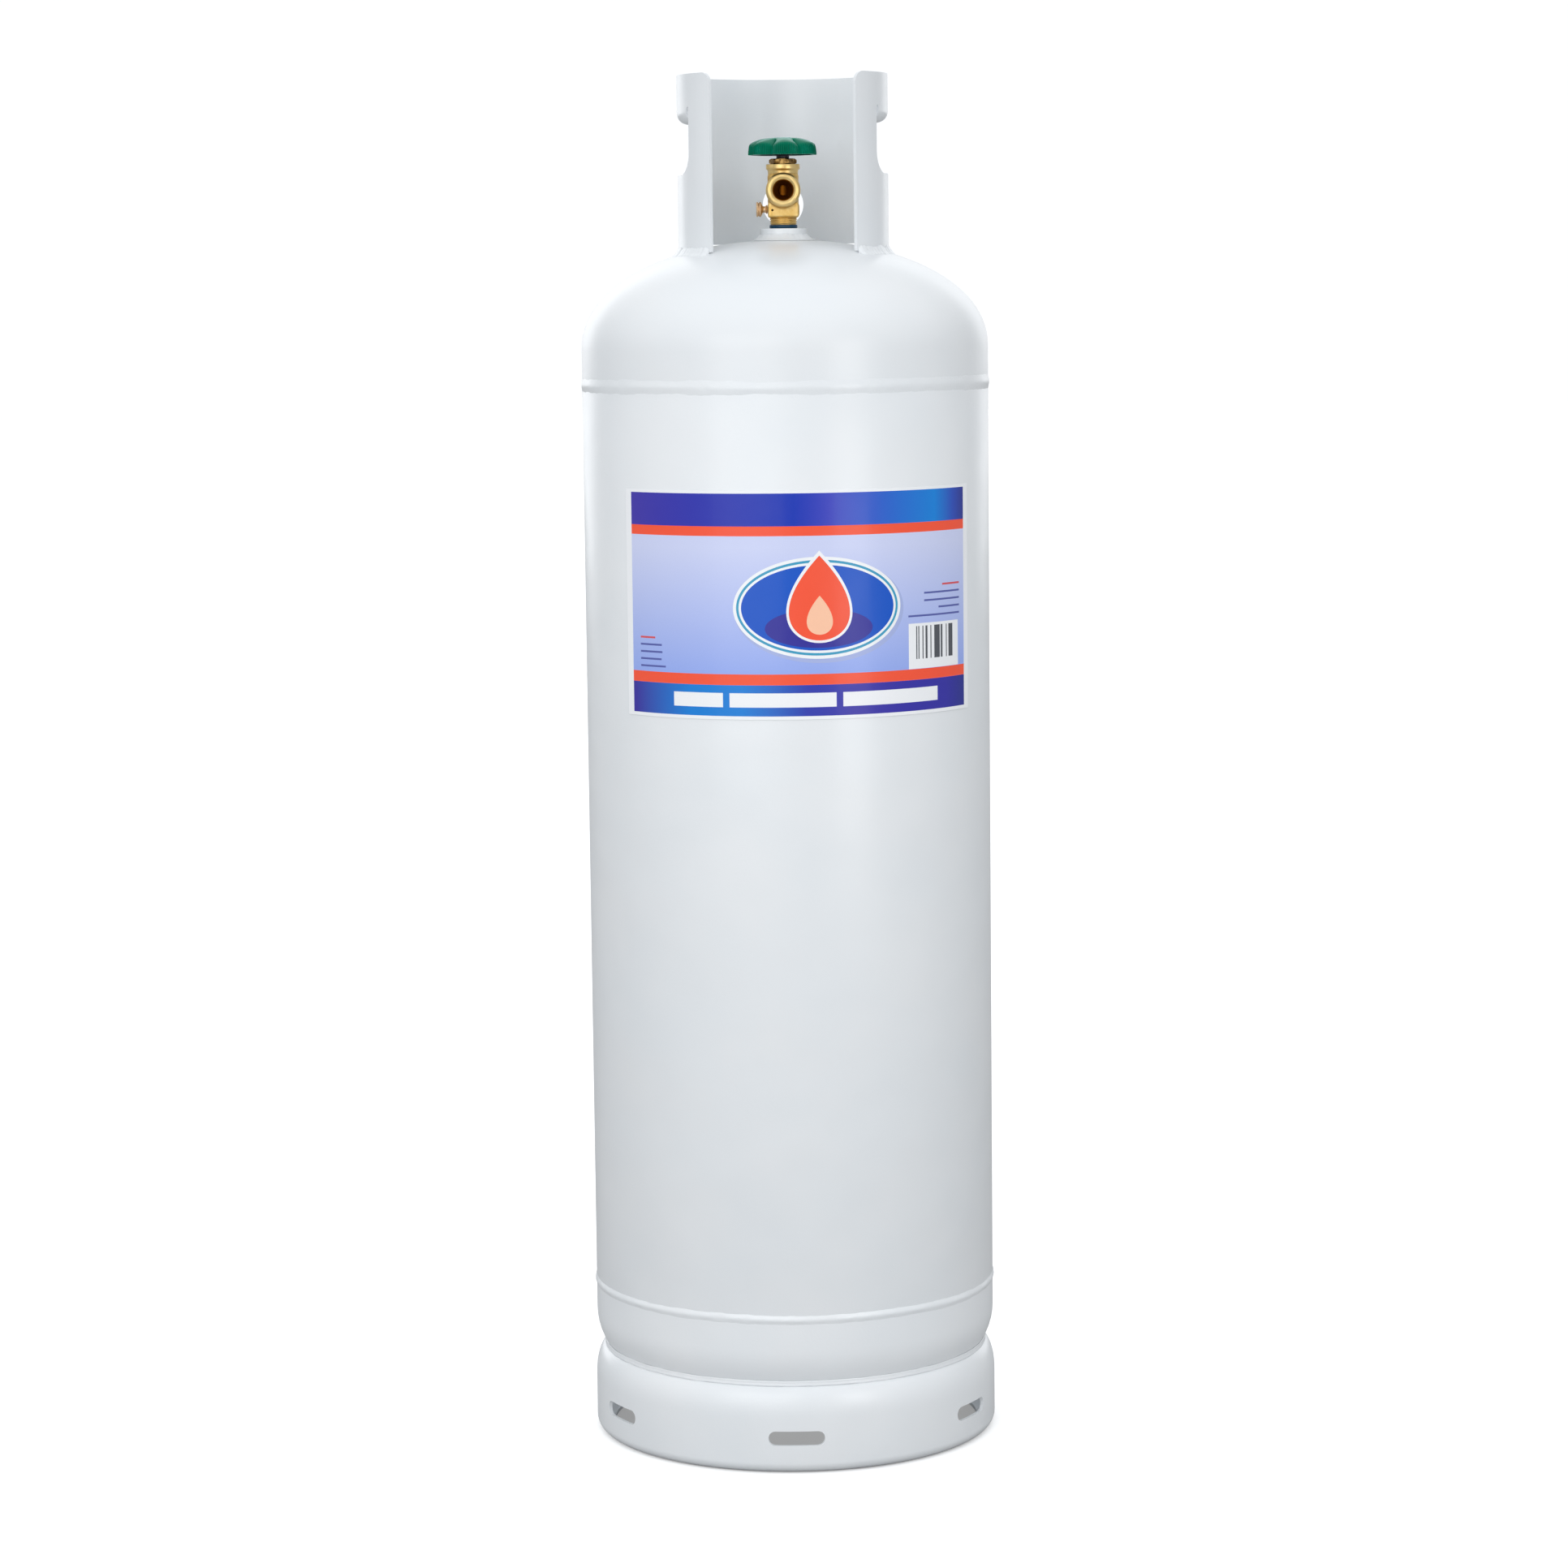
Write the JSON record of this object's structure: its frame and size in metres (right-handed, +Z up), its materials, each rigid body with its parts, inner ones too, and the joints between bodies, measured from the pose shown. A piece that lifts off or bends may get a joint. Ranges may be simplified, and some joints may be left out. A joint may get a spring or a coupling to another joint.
{
  "type": "propane cylinder",
  "caption": "Tall upright propane cylinder: welded white steel tank on a slotted foot ring, with an open-fronted collar around a brass valve that has a lobed handwheel.",
  "frame": {"origin": "centre of the foot ring's bottom face, on the floor", "axes": "+Z up the tank's axis, -Y out of the valve outlet and the collar's opening, +X to the right seen from the front"},
  "size_m": [0.3706, 0.3708, 1.24],
  "materials": {
    "white_enamel": "gloss powder coat",
    "forged_brass": "forged, machined faces",
    "green_gloss": "gloss moulding",
    "black_plastic": "satin moulding",
    "thread_sealant_teal": "dried sealant",
    "black_rubber": "matte",
    "white_nylon": "natural",
    "zinc_steel": "zinc plated",
    "printed_vinyl": "printed vinyl film"
  },
  "bodies": {
    "tank": {"top_head": "white_enamel", "shell": "white_enamel", "bottom_head": "white_enamel", "upper_girth_weld": "white_enamel", "lower_girth_weld": "white_enamel", "shell_seam_weld": "white_enamel", "foot_ring": "white_enamel", "foot_ring_weld": "white_enamel", "collar": "white_enamel", "collar_weld_left": "white_enamel", "collar_weld_right": "white_enamel", "collar_weld_back": "white_enamel", "valve_boss": "white_enamel", "valve_boss_weld": "white_enamel", "product_label": "printed_vinyl", "thread_sealant": "thread_sealant_teal", "valve_body": "forged_brass", "bonnet_nut": "forged_brass", "dip_tube": "forged_brass", "relief_retainer": "forged_brass", "thrust_washer": "white_nylon", "relief_spring": "zinc_steel"},
    "stem_assembly": {"stem": "forged_brass", "stem_o_ring": "black_rubber", "stem_shield": "black_plastic", "handwheel": "green_gloss", "handwheel_screw": "zinc_steel"},
    "plug_assembly": {"valve_plug": "forged_brass", "seat_disc": "white_nylon"},
    "bleed_seal": {"bleed_o_ring": "black_rubber"},
    "bleed_screw_body": {"bleed_screw": "forged_brass"},
    "relief_poppet_body": {"relief_poppet": "forged_brass", "relief_disc": "black_rubber"}
  },
  "joints": [
    {"name": "handwheel_turn", "type": "hinge", "parent": "tank", "child": "stem_assembly", "pos_m": [0, 0, 1.17], "axis": [0, 0, 1], "range_deg": [0, 540]},
    {"name": "plug_lift", "type": "slide", "parent": "stem_assembly", "child": "plug_assembly", "axis": [0, 0, 1], "range_m": [0, 0.00271]},
    {"name": "bleed_screw_travel", "type": "slide", "parent": "tank", "child": "bleed_seal", "axis": [-1, 0, 0], "range_m": [0, 0.00081]},
    {"name": "bleed_screw_turn", "type": "hinge", "parent": "bleed_seal", "child": "bleed_screw_body", "pos_m": [-0.02, 0, 1.1203], "axis": [-1, 0, 0], "range_deg": [0, 360]},
    {"name": "relief_lift", "type": "slide", "parent": "tank", "child": "relief_poppet_body", "axis": [0, 1, 0], "range_m": [0, 0.003], "stiffness_N_per_m": 2000, "deforming": ["relief_spring"]}
  ],
  "couplings": [
    {"joint": "plug_lift", "follows": "handwheel_turn", "m_per_rad": 0.00028648},
    {"joint": "bleed_screw_travel", "follows": "bleed_screw_turn", "m_per_rad": 0.00012732}
  ]
}
